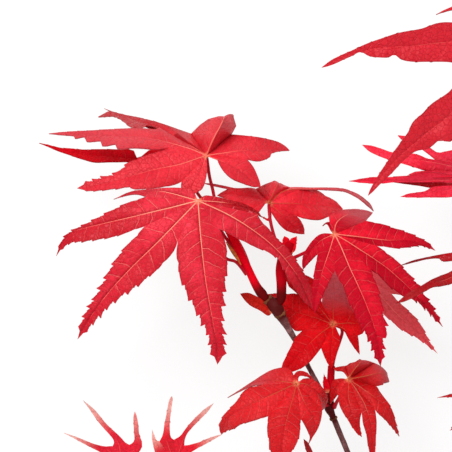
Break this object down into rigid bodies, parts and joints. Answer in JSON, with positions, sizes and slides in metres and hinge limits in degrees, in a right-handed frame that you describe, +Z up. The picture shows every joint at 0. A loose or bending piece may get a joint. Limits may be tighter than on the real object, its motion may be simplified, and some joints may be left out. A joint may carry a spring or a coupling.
{
  "type": "cut maple branch",
  "caption": "Cut branch of a red japanese maple lying on its side, with toothed star-shaped leaves on slender red stalks.",
  "frame": {"origin": "centre of the bounding box, on the surface that the branch lies on", "axes": "+Z up from the surface, +Y from the cut end towards the youngest leaves, +X to the right as seen from above"},
  "size_m": [0.1712, 0.1892, 0.0678],
  "materials": {
    "leaf": "satin leaf with pale veins",
    "shoot": "smooth young shoot",
    "bark": "smooth dull bark"
  },
  "bodies": {
    "root": {"bract_fork_left": "shoot", "bract_fork_right": "shoot", "bract_knuckle": "shoot", "bract_middle": "shoot", "leaf_centre": "leaf", "leaf_edge_high": "leaf", "leaf_edge_low": "leaf", "leaf_edge_middle": "leaf", "leaf_edge_top": "leaf", "leaf_front": "leaf", "leaf_low_far_left": "leaf", "leaf_low_left": "leaf", "leaf_low_near_left": "leaf", "leaf_low_right": "leaf", "leaf_low_small": "leaf", "leaf_middle": "leaf", "leaf_right": "leaf", "leaf_right_back": "leaf", "leaf_top": "leaf", "leaf_top_back": "leaf", "left_shoot": "shoot", "left_side_shoot": "bark", "main_stem": "bark", "middle_shoot": "shoot", "right_shoot": "shoot", "right_side_shoot": "bark"}
  },
  "joints": []
}
